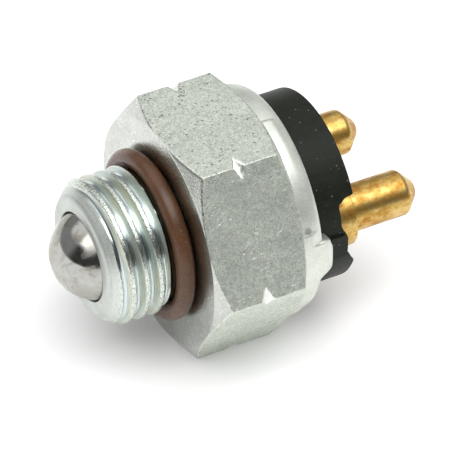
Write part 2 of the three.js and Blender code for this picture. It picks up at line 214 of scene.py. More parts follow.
def mesh_object(name, points, faces, sharp_angle=38, face_materials=None):
    """A smooth-shaded mesh piece with its faces turned outwards."""
    mesh = bpy.data.meshes.new(name)
    mesh.from_pydata(points.reshape(-1, 3).tolist(), [], faces)
    if face_materials is not None:
        mesh.polygons.foreach_set("material_index", face_materials)
    work = bmesh.new()
    work.from_mesh(mesh)
    bmesh.ops.remove_doubles(work, verts=work.verts, dist=1e-7)
    bmesh.ops.recalc_face_normals(work, faces=work.faces)
    if work.calc_volume(signed=True) < 0:
        bmesh.ops.reverse_faces(work, faces=work.faces)
    work.to_mesh(mesh)
    work.free()
    mesh.polygons.foreach_set("use_smooth", [True] * len(mesh.polygons))
    mesh.set_sharp_from_angle(angle=math.radians(sharp_angle))
    made = bpy.data.objects.new(name, mesh)
    bpy.context.scene.collection.objects.link(made)
    return made


def grid_faces(rows, columns, closed_rows):
    """Quads of a grid that wraps round its columns, and round its rows too when closed_rows is true."""
    faces = []
    for i in range(rows if closed_rows else rows - 1):
        below, above = i * columns, (i + 1) % rows * columns
        for j in range(columns):
            k = (j + 1) % columns
            faces.append((below + j, below + k, above + k, above + j))
    return faces


def rounded(corners, steps=5):
    """A profile of (station, radius) points from (station, radius, fillet) corners. A third number rounds
    that corner by that much."""
    out = []
    last = len(corners) - 1
    for i, corner in enumerate(corners):
        point = np.array(corner[:2], float)
        fillet = corner[2] if len(corner) > 2 else 0
        if not fillet or i in (0, last):
            out.append(point)
            continue
        before = np.array(corners[i - 1][:2], float) - point
        after = np.array(corners[i + 1][:2], float) - point
        reach = min(fillet, 0.42 * np.linalg.norm(before), 0.42 * np.linalg.norm(after))
        start = before / np.linalg.norm(before)
        end = after / np.linalg.norm(after)
        support = 0.25 * reach
        out.append(point + start * (reach + support))
        for t in np.linspace(0, 1, steps + 1):
            out.append(point + start * reach * (1 - t) ** 2 + end * reach * t**2)
        out.append(point + end * (reach + support))
    return np.array(out)


def turned(name, corners, centre=(0.0, 0.0), segments=96, closed=False):
    """A piece turned about an axis through centre. A closed profile is a ring, and an open one meets the
    axis at both ends."""
    profile = rounded([*corners, corners[0]] if closed else corners)
    if closed:
        profile = profile[:-1]
    clocks = clocks_of(segments)
    points = in_row_frame(profile[:, :1], profile[:, 1:], clocks[None, :], centre)
    faces = grid_faces(len(profile), segments, closed)
    return mesh_object(name, points, faces)


def seal_ring(name, node, wire_r, segments=96, sides=28):
    """A ring of round section in a CAD node's place."""
    station, ring_r = sum(stations(node)) / 2, outer_radius(node) - wire_r
    angles = np.arange(sides) * 2 * math.pi / sides
    section = [(station + wire_r * math.sin(a), ring_r + wire_r * math.cos(a)) for a in angles]
    return turned(name, section, closed=True, segments=segments)


def coil(name, node, coil_r, wire_r, turns, sides=14, steps_per_turn=48):
    """A coil spring of round wire in a CAD node's place. Most of a turn lies flat at each end, and the wire
    tapers there."""
    first, last = stations(node)
    steps = turns * steps_per_turn
    t = np.linspace(0, 1, steps + 1)
    dead = 0.7 / turns
    rise = np.clip((t - dead) / (1 - 2 * dead), 0, 1)
    rise = rise * rise * (3 - 2 * rise) * 0.3 + rise * 0.7
    station = first + wire_r + (last - first - 2 * wire_r) * rise
    angle = 360 * turns * t
    around = np.arange(sides) * 2 * math.pi / sides
    taper = np.ones(steps + 1)
    taper[[0, -1]] = 0.55
    section_s = station[:, None] + wire_r * taper[:, None] * np.sin(around)
    section_r = coil_r + wire_r * taper[:, None] * np.cos(around)
    points = in_row_frame(section_s, section_r, angle[:, None]).reshape(-1, 3)
    faces = grid_faces(steps + 1, sides, False)
    faces.append(tuple(range(sides)))
    faces.append(tuple(range(steps * sides, (steps + 1) * sides)))
    return mesh_object(name, points, faces)


def evaluated_mesh(made):
    """A new mesh of an object with its modifiers or curve settings applied."""
    return bpy.data.meshes.new_from_object(made.evaluated_get(bpy.context.evaluated_depsgraph_get()))


def plate(name, outlines, first, last, edge, turn=0.0):
    """A flat plate across the axis with rounded edges. Outlines are closed loops of (y, z) points from the
    axis, the outer one first and then its holes."""
    curve = bpy.data.curves.new(name + "_outline", "CURVE")
    curve.dimensions = "2D"
    curve.fill_mode = "BOTH"
    curve.extrude = ((last - first) / 2 - edge) * MM
    curve.bevel_depth = edge * MM
    curve.offset = -edge * MM
    curve.bevel_resolution = 2
    for outline in outlines:
        spline = curve.splines.new("POLY")
        spline.points.add(len(outline) - 1)
        for point, (y, z) in zip(spline.points, outline):
            point.co = (y * MM, z * MM, 0, 1)
        spline.use_cyclic_u = True
    holder = bpy.data.objects.new(name + "_outline", curve)
    bpy.context.scene.collection.objects.link(holder)
    mesh = evaluated_mesh(holder)
    bpy.data.objects.remove(holder)
    across = Matrix(((0, 0, 1, 0), (1, 0, 0, 0), (0, 1, 0, 0), (0, 0, 0, 1)))
    place = Matrix.Translation((SEAT_X + (first + last) / 2 * MM, 0, AXIS_Z))
    mesh.transform(place @ Matrix.Rotation(math.radians(turn), 4, "X") @ across)
    points = np.array([v.co for v in mesh.vertices])
    faces = [tuple(p.vertices) for p in mesh.polygons]
    return mesh_object(name, points, faces)


def arc(radius, clock_from, clock_to, steps, centre=(0.0, 0.0)):
    """Points (y, z) of an arc between two clock angles."""
    angles = np.radians(np.linspace(clock_from, clock_to, steps + 1))
    return [(centre[0] - radius * math.cos(a), centre[1] + radius * math.sin(a)) for a in angles]


def circle(radius, centre=(0.0, 0.0), steps=48):
    return arc(radius, 0, 360, steps, centre)[:-1]


def smooth_min(a, b, width):
    """The smaller of two fields, with the crease between them rounded over about this width."""
    h = np.clip(0.5 + 0.5 * (b - a) / width, 0, 1)
    return b * (1 - h) + a * h - width * h * (1 - h)


def smooth_max(a, b, width):
    return -smooth_min(-a, -b, width)


def smooth_step(x, low, high):
    t = np.clip((x - low) / (high - low), 0, 1)
    return t * t * (3 - 2 * t)


# ---- shader helpers


class Nodes:
    """A node tree, with a short way to add each kind of node."""

    def __init__(self, tree):
        self.tree = tree

    def node(self, kind, **settings):
        made = self.tree.nodes.new(kind)
        for key, value in settings.items():
            setattr(made, key, value)
        return made

    def feed(self, socket, value):
        """Links an output to a socket, or sets the socket's value."""
        if isinstance(value, bpy.types.NodeSocket):
            self.tree.links.new(value, socket)
        else:
            socket.default_value = value

    def fed(self, kind, **inputs):
        """A node with values or links on its named inputs."""
        made = self.node(kind)
        for name, value in inputs.items():
            self.feed(made.inputs[name], value)
        return made

    def math(self, operation, *values):
        made = self.node("ShaderNodeMath", operation=operation)
        for socket, value in zip(made.inputs, values):
            self.feed(socket, value)
        return made.outputs[0]

    def times(self, first, second):
        return self.math("MULTIPLY", first, second)

    def plus(self, first, second):
        return self.math("ADD", first, second)

    def minus(self, first, second):
        return self.math("SUBTRACT", first, second)

    def between(self, value, low, high, to_low=0.0, to_high=1.0):
        """A smooth step from to_low at low to to_high at high."""
        made = self.node("ShaderNodeMapRange", interpolation_type="SMOOTHSTEP")
        for socket, number in zip(made.inputs, (value, low, high, to_low, to_high)):
            self.feed(socket, number)
        return made.outputs[0]

    def split(self, vector):
        """The x, y and z sockets of a vector."""
        made = self.node("ShaderNodeSeparateXYZ")
        self.feed(made.inputs[0], vector)
        return tuple(made.outputs)

    def vector(self, x, y, z):
        made = self.node("ShaderNodeCombineXYZ")
        for socket, value in zip(made.inputs, (x, y, z)):
            self.feed(socket, value)
        return made.outputs[0]


class Shader(Nodes):
    """A material built from nodes, with its Principled shader at hand."""

    def __init__(self, name, **settings):
        self.material = bpy.data.materials.new(name)
        self.material.use_nodes = True
        super().__init__(self.material.node_tree)
        self.principled = self.tree.nodes["Principled BSDF"]
        for socket, value in settings.items():
            self.principled.inputs[socket.replace("_", " ")].default_value = value
        self.place = self.node("ShaderNodeTexCoord").outputs["Object"]

    def stretched(self, x, y, z):
        """Object coordinates in millimetres, scaled along each axis."""
        scale = (x / MM, y / MM, z / MM)
        return self.fed("ShaderNodeMapping", Vector=self.place, Scale=scale).outputs[0]

    def about_axis(self):
        """(station, radius, angle) sockets, in millimetres and radians."""
        shifted = self.node("ShaderNodeVectorMath", operation="SUBTRACT")
        self.feed(shifted.inputs[0], self.place)
        shifted.inputs[1].default_value = (SEAT_X, 0, AXIS_Z)
        x, y, z = self.split(shifted.outputs[0])
        squares = self.plus(self.math("POWER", y, 2.0), self.math("POWER", z, 2.0))
        radius = self.math("DIVIDE", self.math("SQRT", squares), MM)
        return self.math("DIVIDE", x, MM), radius, self.math("ARCTAN2", z, y)

    def wound(self, sockets, along, outwards, round_axis=1.0):
        """A vector of (station, radius, angle) sockets, each scaled."""
        return self.vector(*map(self.times, sockets, (along, outwards, round_axis)))

    def noise(self, vector, detail=3.0, roughness=0.5, distortion=0.0):
        made = self.fed("ShaderNodeTexNoise", Vector=vector, Scale=1.0, Detail=detail, Roughness=roughness,
                        Distortion=distortion)
        return made.outputs["Fac"]

    def cells(self, vector):
        return self.fed("ShaderNodeTexVoronoi", Vector=vector, Scale=1.0).outputs["Distance"]

    def ramp(self, value, *stops):
        """A colour ramp. Stops are (position, (r, g, b)) or (position, grey)."""
        made = self.node("ShaderNodeValToRGB")
        self.feed(made.inputs[0], value)
        elements = made.color_ramp.elements
        while len(elements) < len(stops):
            elements.new(0.5)
        for element, (position, colour) in zip(elements, stops):
            element.position = position
            colour = (colour,) * 3 if isinstance(colour, (int, float)) else colour
            element.color = (*colour, 1)
        return made.outputs["Color"]

    def tones(self, value, dark, light):
        return self.ramp(value, (0.3, dark), (0.7, light))

    def mix(self, share, first, second, blend="MIX"):
        made = self.node("ShaderNodeMix", data_type="RGBA", blend_type=blend)
        self.feed(made.inputs["Factor"], share)
        for socket, value in ((made.inputs["A"], first), (made.inputs["B"], second)):
            self.feed(socket, value if isinstance(value, bpy.types.NodeSocket) else (*value, 1))
        return made.outputs["Result"]

    def shaded(self, colour, value, *stops):
        """A colour multiplied by a ramp of greys."""
        return self.mix(1.0, colour, self.ramp(value, *stops), "MULTIPLY")

    def bump(self, height, depth_mm, strength, after=None):
        made = self.fed("ShaderNodeBump", Strength=strength, Distance=depth_mm * MM, Height=height)
        if after is not None:
            self.feed(made.inputs["Normal"], after)
        return made.outputs[0]

    def finish(self, colour, roughness, normal):
        for name, value in (("Base Color", colour), ("Roughness", roughness), ("Normal", normal)):
            self.feed(self.principled.inputs[name], value)
        return self.material


# ---- materials


def zinc_hex():
    """Drawn hex bar under zinc plate: mottled grain, faint clouds, scuffs, and small dark pits that are
    strongest on the upper faces."""
    s = Shader("zinc_hex", Metallic=1.0)
    clouds = s.noise(s.stretched(0.3, 0.5, 0.5), 4.0)
    grain = s.noise(s.stretched(6.5, 6.5, 6.5), 4.0, 0.8)
    mottle = s.noise(s.stretched(2.2, 2.2, 2.2), 3.0, 0.6)
    upper = s.between(s.split(s.place)[2], 1.6 * AXIS_Z, 1.9 * AXIS_Z)
    pit_size = s.noise(s.stretched(0.9, 0.9, 0.9), 3.0)
    small_cells = s.cells(s.stretched(2.4, 2.4, 2.4))
    large_cells = s.cells(s.stretched(1.1, 1.3, 1.3))
    small_pits = s.times(s.between(small_cells, 0.30, 0.14), s.between(pit_size, 0.42, 0.58))
    large_pits = s.times(s.between(large_cells, 0.2, 0.09), s.between(pit_size, 0.5, 0.6))
    pits = s.times(s.math("MAXIMUM", small_pits, large_pits), s.between(upper, 0, 1, 0.4, 1.0))
    plain = s.tones(clouds, (0.75, 0.80, 0.71), (0.87, 0.92, 0.82))
    colour = s.shaded(plain, grain, (0.34, 0.56), (0.60, 1.0))
    colour = s.shaded(colour, mottle, (0.3, 0.82), (0.6, 1.0))
    colour = s.mix(s.times(pits, 0.8), colour, (0.17, 0.17, 0.15))
    scratches = s.noise(s.stretched(1.6, 4.2, 4.2), 2.0, 0.6, 0.8)
    scratched = s.between(s.noise(s.stretched(0.28, 0.28, 0.28), 1.0), 0.50, 0.60)
    scuffs = s.times(s.between(scratches, 0.64, 0.70), scratched)
    colour = s.mix(s.times(scuffs, 0.7), colour, (0.95, 0.96, 0.90))
    roughness = s.minus(s.between(grain, 0.2, 0.8, 0.42, 0.56), s.times(scuffs, 0.18))
    normal = s.bump(s.plus(pits, scuffs), -0.05, 0.8, s.bump(grain, 0.03, 0.6))
    return s.finish(colour, roughness, normal)


def zinc_turned(name, dark, light, smooth, rough, groove, glints, painted_shadow=None):
    """Turned steel under zinc plate, with fine tool marks round the axis and torn grains. A painted shadow
    is a darker spot painted at a clock angle, station and radius, where a ledge would cast shade."""
    s = Shader(name, Metallic=1.0)
    marks = s.noise(s.wound(s.about_axis(), 9.0, 9.0, 1.2), 2.0)
    clouds = s.noise(s.stretched(0.5, 0.5, 0.5))
    grain = s.noise(s.stretched(7, 7, 7), 3.0, 0.7)
    torn = s.noise(s.stretched(4.5, 4.5, 4.5), 3.0, 0.7)
    colour = s.shaded(s.tones(clouds, dark, light), grain, (0.2, 0.8), (0.65, 1.0))
    colour = s.mix(s.times(s.between(torn, 0.56, 0.66), glints), colour, (0.95, 0.95, 0.9))
    # Painted shadow: the colour is darkened in a ragged spot to stand in for the shade above a pad's ledge.
    if painted_shadow is not None:
        clock, station, radius = painted_shadow
        away = s.node("ShaderNodeVectorMath", operation="DISTANCE")
        s.feed(away.inputs[0], s.place)
        away.inputs[1].default_value = in_row_frame(station, HEX_FLAT_R, clock)
        ragged = s.plus(s.math("DIVIDE", away.outputs["Value"], MM), s.times(grain, 0.3))
        colour = s.mix(s.between(ragged, radius + 0.25, radius - 0.1), colour, (0.42, 0.43, 0.38))
    roughness = s.between(marks, 0.25, 0.75, smooth, rough)
    normal = s.bump(torn, 0.04, 0.25 + glints * 0.5, s.bump(marks, 0.01, groove))
    return s.finish(colour, roughness, normal)


def zinc_thread():
    """Zinc-plated thread: torn, grainy crests, satin grey-green flanks and smooth bluish roots. The lead
    chamfer is satin near the nose's flat and torn outside."""
    s = Shader("zinc_thread", Metallic=1.0)
    polar = station, radius, _ = s.about_axis()
    lead = s.plus(s.minus(station, radius), NOSE_FLAT_R - NOSE_END)
    lead_in = s.between(lead, 0.14, 0.06)
    crest = s.math("MAXIMUM", s.between(radius, THREAD_CREST_R - 0.12, THREAD_CREST_R - 0.05), lead_in)
    root = s.times(s.between(radius, THREAD_ROOT_R + 0.26, THREAD_ROOT_R + 0.14), s.minus(1.0, lead_in))
    smooth_lead = s.times(lead_in, s.between(radius, LEAD_TORN_TO, LEAD_TORN_FROM))
    grain = s.noise(s.stretched(7, 7, 7), 3.0, 0.75)
    streaks = s.noise(s.wound(polar, 14.0, 8.0))
    bloom = s.noise(s.wound(polar, 0.9, 1.0, 1.5))
    rings = s.noise(s.wound(polar, 9.0, 5.0), 2.0)
    flank = s.ramp(bloom, (0.32, (0.60, 0.68, 0.67)), (0.5, (0.62, 0.67, 0.60)), (0.68, (0.66, 0.67, 0.54)))
    torn = s.ramp(grain, (0.38, (0.34, 0.36, 0.31)), (0.58, (0.82, 0.88, 0.82)))
    satin = s.ramp(grain, (0.36, (0.54, 0.57, 0.54)), (0.60, (0.69, 0.72, 0.68)))
    colour = s.shaded(s.mix(root, flank, (0.65, 0.72, 0.73)), streaks, (0.3, 0.72), (0.55, 1.0))
    colour = s.mix(crest, colour, s.mix(smooth_lead, torn, satin))
    roughness = s.minus(0.42, s.times(root, 0.24))
    roughness = s.minus(roughness, s.times(crest, 0.21))
    roughness = s.plus(roughness, s.times(smooth_lead, 0.22))
    torn_share = s.minus(crest, s.times(smooth_lead, 0.6))
    normal = s.bump(s.times(rings, lead_in), 0.05, 0.8, s.bump(streaks, 0.01, 0.5))
    normal = s.bump(s.times(grain, torn_share), 0.035, 0.8, normal)
    return s.finish(colour, roughness, normal)


def ball_steel():
    """Polished bearing steel with brownish handling smears and dull patches."""
    s = Shader("ball_steel", Metallic=1.0)
    smears = s.noise(s.stretched(0.3, 0.42, 0.42), 5.0, 0.6, 0.5)
    patches = s.noise(s.stretched(0.9, 0.9, 0.9), 3.0, 0.6, 0.6)
    fine = s.noise(s.stretched(14, 14, 14), 2.0)
    film = s.between(smears, 0.40, 0.62)
    clean = s.ramp(patches, (0.36, (0.31, 0.295, 0.245)), (0.48, (0.44, 0.44, 0.42)),
                   (0.7, (0.49, 0.49, 0.48)))
    colour = s.mix(s.times(film, 0.75), clean, (0.40, 0.39, 0.34))
    roughness = s.plus(s.between(film, 0, 1, 0.08, 0.36), s.times(patches, 0.05))
    return s.finish(colour, roughness, s.bump(fine, 0.0015, 0.25))


def brass():
    """Turned brass gone orange and brown in patches, with soft lathe marks."""
    s = Shader("brass", Metallic=1.0)
    patches = s.noise(s.stretched(0.7, 1.1, 1.1), 5.0, 0.7)
    rings = s.noise(s.stretched(5, 0.4, 0.4))
    grain = s.noise(s.stretched(4, 4, 4))
    colour = s.ramp(patches, (0.36, (0.46, 0.21, 0.04)), (0.48, (0.58, 0.36, 0.09)),
                    (0.64, (0.72, 0.52, 0.20)))
    colour = s.shaded(colour, grain, (0.3, 0.8), (0.65, 1.0))
    roughness = s.between(patches, 0.3, 0.7, 0.46, 0.30)
    return s.finish(colour, roughness, s.bump(grain, 0.01, 0.25, s.bump(rings, 0.012, 0.3)))


def phenolic():
    """Black moulded phenolic: dull satin, with a faint flow texture and specks of dust."""
    s = Shader("black_phenolic", Metallic=0.0, Specular_IOR_Level=0.17)
    flow = s.noise(s.stretched(0.8, 1.6, 1.6), 4.0, 0.6)
    orange_peel = s.noise(s.stretched(4, 4, 4), 2.0)
    dust_cells = s.cells(s.stretched(2.2, 2.2, 2.2))
    dust_share = s.noise(s.stretched(1.3, 1.3, 1.3), 2.0)
    dust = s.times(s.between(dust_cells, 0.2, 0.1), s.between(dust_share, 0.50, 0.62))
    plain = s.tones(flow, (0.007, 0.010, 0.006), (0.015, 0.018, 0.011))
    colour = s.mix(s.times(dust, 0.6), plain, (0.25, 0.26, 0.25))
    roughness = s.plus(s.between(flow, 0.3, 0.7, 0.42, 0.52), s.times(dust, 0.3))
    return s.finish(colour, roughness, s.bump(dust, 0.02, 0.6, s.bump(orange_peel, 0.01, 0.3)))


def rubber(name, dark, light, smooth, rough):
    """Moulded rubber with soft clouds, fine grain and a few light specks."""
    s = Shader(name, Metallic=0.0, Specular_IOR_Level=0.4)
    clouds = s.noise(s.stretched(0.5, 0.5, 0.5))
    grain = s.noise(s.stretched(9, 9, 9), 2.0)
    specks = s.between(s.cells(s.stretched(1.2, 1.2, 1.2)), 0.09, 0.04)
    colour = s.mix(s.times(specks, 0.6), s.tones(clouds, dark, light), (0.4, 0.32, 0.26))
    roughness = s.between(grain, 0.3, 0.7, smooth, rough)
    return s.finish(colour, roughness, s.bump(grain, 0.006, 0.3))


def plain_metal(name, dark, light, smooth, rough):
    """A hidden metal piece: clouded colour and fine grain."""
    s = Shader(name, Metallic=1.0)
    clouds = s.noise(s.stretched(0.6, 0.6, 0.6))
    grain = s.noise(s.stretched(5, 5, 5))
    roughness = s.between(grain, 0.3, 0.7, smooth, rough)
    return s.finish(s.tones(clouds, dark, light), roughness, s.bump(grain, 0.006, 0.3))


def fibre():
    """Red vulcanised fibre with short matted strands."""
    s = Shader("red_fibre", Metallic=0.0)
    strands = s.noise(s.stretched(2, 7, 7), 4.0, 0.6, 1.2)
    colour = s.tones(strands, (0.18, 0.04, 0.02), (0.36, 0.10, 0.06))
    return s.finish(colour, s.between(strands, 0.3, 0.7, 0.65, 0.85), s.bump(strands, 0.02, 0.5))


def nylon():
    """Natural nylon moulding, slightly waxy."""
    s = Shader("natural_nylon", Metallic=0.0, Subsurface_Weight=0.1)
    clouds = s.noise(s.stretched(0.7, 0.7, 0.7))
    colour = s.tones(clouds, (0.62, 0.57, 0.44), (0.74, 0.70, 0.58))
    return s.finish(colour, s.between(clouds, 0.3, 0.7, 0.42, 0.55), s.bump(clouds, 0.01, 0.3))


# ---- the housing


def hex_radius(clock, edge):
    """The hexagon's radius at each clock angle, its corners rounded over about edge."""
    from_flat = np.abs(clock % 60 - 30)
    own = HEX_FLAT_R / np.cos(np.radians(from_flat))
    neighbour = HEX_FLAT_R / np.cos(np.radians(60 - from_flat))
    return smooth_min(own, neighbour, edge)


def hex_chamfer(station):
    """The radius of the turned chamfer at the hexagon's front."""
    return HEX_FLAT_R + (HEX_CORNER_R - HEX_FLAT_R) / HEX_CORNER_FRONT * station


def nick(station):
    """The radius of the V nick cut across each corner."""
    return NICK_BOTTOM_R + np.abs(station - NICK_STATION)


def dent(clock, station):
    """The depth of a small knock beside one of the nicks."""
    across = np.radians(clock - DENT_CLOCK) * HEX_FLAT_R
    return DENT_DEPTH * np.exp(-(across**2 + (station - DENT_STATION) ** 2) / DENT_R**2)


def hex_band(station, clock):
    """The wrench hexagon with its turned end chamfers, nicks and slightly wavy, worn corners."""
    rear_slope = (HEX_CORNER_R - HEX_FLAT_R) / (HEX_END - HEX_CORNER_REAR)
    rear = HEX_FLAT_R + rear_slope * (HEX_END - station)
    wear = 1.2 + 0.7 * np.sin(4.3 * station + 2.2 * np.sin(1.9 * station + clock / 30))
    body = smooth_min(hex_radius(clock, HEX_CORNER_EDGE * wear), nick(station), 0.06)
    body = smooth_min(body, hex_chamfer(station), HEX_EDGE)
    return smooth_min(body, rear, HEX_EDGE) - dent(clock, station)


def thread_band(station, clock):
    """The nose's outside: the lead chamfer, the screw thread and its run-out."""
    turn = (180 - clock) / 360
    along = (station - NOSE_END) / THREAD_PITCH - turn + THREAD_PHASE
    offset = np.abs((along + 0.5) % 1 - 0.5) * THREAD_PITCH
    slope = (THREAD_CREST_R - THREAD_ROOT_R) / (THREAD_FLANK_HALF - THREAD_CREST_HALF)
    flank = THREAD_ROOT_R + (THREAD_FLANK_HALF - offset) * slope
    thread = smooth_min(smooth_max(flank, THREAD_ROOT_R, THREAD_ROOT_FILLET), THREAD_CREST_R, 0.06)
    lead = NOSE_FLAT_R + (station - NOSE_END)
    run_out = THREAD_CREST_R + (THREAD_END - station) - 0.15
    return smooth_min(smooth_min(thread, lead, 0.1), run_out, 0.06)


def lobe(clock):
    """How far the crimped rim stands back at each clock angle, where it was pressed over the key."""
    rise = smooth_step(clock, LOBE_FROM, LOBE_FROM + 8)
    fall = smooth_step(clock, LOBE_TO, LOBE_TO - 1.2)
    rounding = 0.2 * smooth_step(clock, LOBE_TO - 6.6, LOBE_TO - 1.1)
    return LOBE_STAND * rise * fall * (1 - rounding)


def pad(clock, station):
    """The swell that the crimping tool left behind each hexagon corner, 1 on its top."""
    from_corner = (clock + 30) % 60 - 30
    leading = smooth_step(from_corner, PAD_HALF + 1, PAD_HALF - 1)
    trailing = smooth_step(from_corner, -PAD_HALF - 7, PAD_HALF - 4)
    return leading * trailing * smooth_step(station, 11.1, 10.2)


def housing_clocks():
    """Clock angles for the housing: evenly spaced, and closer at the hex corners, the lobe's end and the
    leading edge of each pad."""
    near_corner = (0.15, 0.35, 0.65)
    corners = [c + side * n for c in range(0, 360, 60) for n in near_corner for side in (-1, 1)]
    lobe_edge = np.arange(12.8, 15.2, 0.4)
    pads = [c + n for c in range(0, 360, 60) for n in np.arange(PAD_HALF - 0.8, PAD_HALF + 1, 0.4)]
    every = np.concatenate([clocks_of(276), corners, lobe_edge, pads]) % 360
    return np.unique(np.round(every, 3))


# The housing's finishes, in the order of its material slots.
SHELL, THREAD, SEAT, HEX, COLLAR, EDGE = range(6)


def housing():
    """The plated body as one grid of rings, from the bore round the outside and back in behind the rim."""
    clock = housing_clocks()
    signed = (clock + 180) % 360 - 180
    rows = []
    materials = []

    def ring_row(station, radius, material):
        rows.append(np.broadcast_arrays(station, radius, clock)[:2])
        materials.append(np.broadcast_to(material, clock.shape))

    def section(corners, material):
        for station, radius in rounded(corners, 3)[1:-1]:
            ring_row(station, radius, material)

    section([
        (CHAMBER_START, BORE_R), (0.0, BORE_R), (BORE_START, BORE_R, 0.1),
        (NOSE_END + LIP_LENGTH, LIP_R, 0.1), (NOSE_END, LIP_R, 0.12), (NOSE_END, NOSE_FLAT_R, 0.3),
        (NOSE_END + 0.52, NOSE_FLAT_R + 0.52),
    ], SHELL)
    for station in np.arange(NOSE_END + 0.3, THREAD_END - 0.02, 0.055):
        ring_row(station, thread_band(station, clock), THREAD)
    section([
        (THREAD_END, THREAD_CREST_R - 0.1), (THREAD_END + 0.05, 6.6),
        (THREAD_END + 0.3, THREAD_ROOT_R, 0.1), (SEAL_RECESS_DEPTH, THREAD_ROOT_R, 0.08),
        (SEAL_RECESS_DEPTH, SEAL_RECESS_R - 0.6, 0.2), (0, SEAL_RECESS_R, 0.2),
        (0, HEX_FLAT_R - 0.12), (0, HEX_FLAT_R),
    ], SEAT)
    ring_row(0.0, HEX_FLAT_R - 0.12, SEAT)
    fine = 0.075
    sharp_hex = hex_radius(clock, 0.01)
    hex_stations = np.concatenate([
        [0.012], np.arange(0.05, 1.4, fine), [2.0, 2.7], np.arange(3.3, 6.05, 0.1), [6.6, 7.4],
        np.arange(8.1, HEX_END - 0.02, fine),
    ])
    for station in hex_stations:
        chamfer_gap = hex_chamfer(station) - sharp_hex
        on_face = np.where(chamfer_gap < -0.03, SEAT, HEX)
        freshly_cut = (np.abs(chamfer_gap) < 0.045) | (nick(station) - sharp_hex < -0.02)
        ring_row(station, hex_band(station, signed), np.where(freshly_cut, EDGE, on_face))
    stand = lobe(signed)
    collar_r = HEX_FLAT_R - 0.03
    crown = collar_r - RIM_BACK_R
    for station in np.linspace(HEX_END + 0.01, RIM, 32)[:-1]:
        share = (station - HEX_END) / (RIM - HEX_END)
        rolled = collar_r - crown * (0.42 * share**2 + 0.58 * (1 - math.sqrt(1 - share**12)))
        radius = rolled + PAD_HEIGHT * pad(signed, station)
        ring_row(station + stand * smooth_step(station, 10.0, RIM_LIP), radius, COLLAR)
    roll = rounded([
        (RIM - 0.1, RIM_BACK_R + 0.1), (RIM, RIM_BACK_R), (RIM, RIM_INNER_R, 0.12),
        (LIP_FRONT, RIM_INNER_R),
    ])
    slot_from, slot_to = KEY_FROM - KEY_SIDE_CLEARANCE, KEY_TO + KEY_SIDE_CLEARANCE
    slot = smooth_step(signed, slot_from - 0.6, slot_from) * smooth_step(signed, slot_to + 0.6, slot_to)
    for station, radius in roll[1:-1]:
        inner = max(0.0, 1 - (radius - RIM_INNER_R) / (collar_r - RIM_INNER_R))
        widened = radius + (KEY_SLOT_R - RIM_INNER_R) * slot * inner
        behind = smooth_step(np.array(station), LIP_FRONT, RIM_LIP)
        ring_row(station + stand * behind, widened, COLLAR)
    slot_r = RIM_INNER_R + (KEY_SLOT_R - RIM_INNER_R) * slot
    ring_row(LIP_FRONT, slot_r, SHELL)
    section([
        (LIP_FRONT, CHAMBER_R - 0.25), (LIP_FRONT, CHAMBER_R, 0.05), (CHAMBER_START, CHAMBER_R, 0.1),
        (CHAMBER_START, BORE_R, 0.05), (BORE_START, BORE_R),
    ], SHELL)

    stations_grid = np.array([row[0] for row in rows])
    radii = np.array([row[1] for row in rows])
    points = in_row_frame(stations_grid, radii, clock[None, :])
    faces = grid_faces(len(rows), len(clock), True)
    return mesh_object("plated_housing", points, faces, 42, np.concatenate(materials))


housing_piece = housing()
for material in (
    zinc_turned("zinc_nose", (0.54, 0.57, 0.54), (0.66, 0.69, 0.66), 0.40, 0.54, 0.35, 0.2),
    zinc_thread(),
    zinc_turned("zinc_seat", (0.50, 0.52, 0.48), (0.60, 0.62, 0.58), 0.16, 0.26, 0.3, 0.6),
    zinc_hex(),
    # The collar's finish also carries a painted shadow spot above one pad's ledge.
    zinc_turned("zinc_collar", (0.70, 0.73, 0.66), (0.82, 0.85, 0.78), 0.43, 0.54, 0.25, 0.3, COLLAR_PAINTED_SHADOW),
    zinc_turned("zinc_edge", (0.80, 0.82, 0.78), (0.92, 0.94, 0.90), 0.24, 0.36, 0.3, 0.8),
):
    housing_piece.data.materials.append(material)

# ---- the moulded base


def solid_cut(target, cutters, operation="DIFFERENCE"):
    """Cuts or joins solids with exact booleans and removes the tools."""
    for tool in cutters:
        step = target.modifiers.new("cut", "BOOLEAN")
        step.operation = operation
        step.solver = "EXACT"
        step.object = tool
        bpy.context.view_layer.update()
        mesh = evaluated_mesh(target)
        target.modifiers.clear()
        target.data = mesh
        bpy.data.objects.remove(tool)


def wall_block(name, corners, inner_r, outer_r, at_clock=0):
    """A block bent round the axis. Its outline is given as corners laid out flat on the base's wall, as
    (distance round the wall, station, fillet)."""
    loop = rounded(corners, 3)
    outline = []
    for here, there in zip(loop, np.roll(loop, -1, axis=0)):
        steps = math.ceil(abs(there[0] - here[0]) / WALL_STEP) or 1
        outline += [here + (there - here) * i / steps for i in range(steps)]
    across, station = np.array(outline).T
    count = len(outline)
    clock = at_clock + np.degrees(across / BASE_R)
    points = np.concatenate([in_row_frame(station, r, clock) for r in (inner_r, outer_r)])
    faces = [tuple(range(count)), tuple(range(count, 2 * count))]
    faces += [(i, (i + 1) % count, count + (i + 1) % count, count + i) for i in range(count)]
    return mesh_object(name, points, faces)


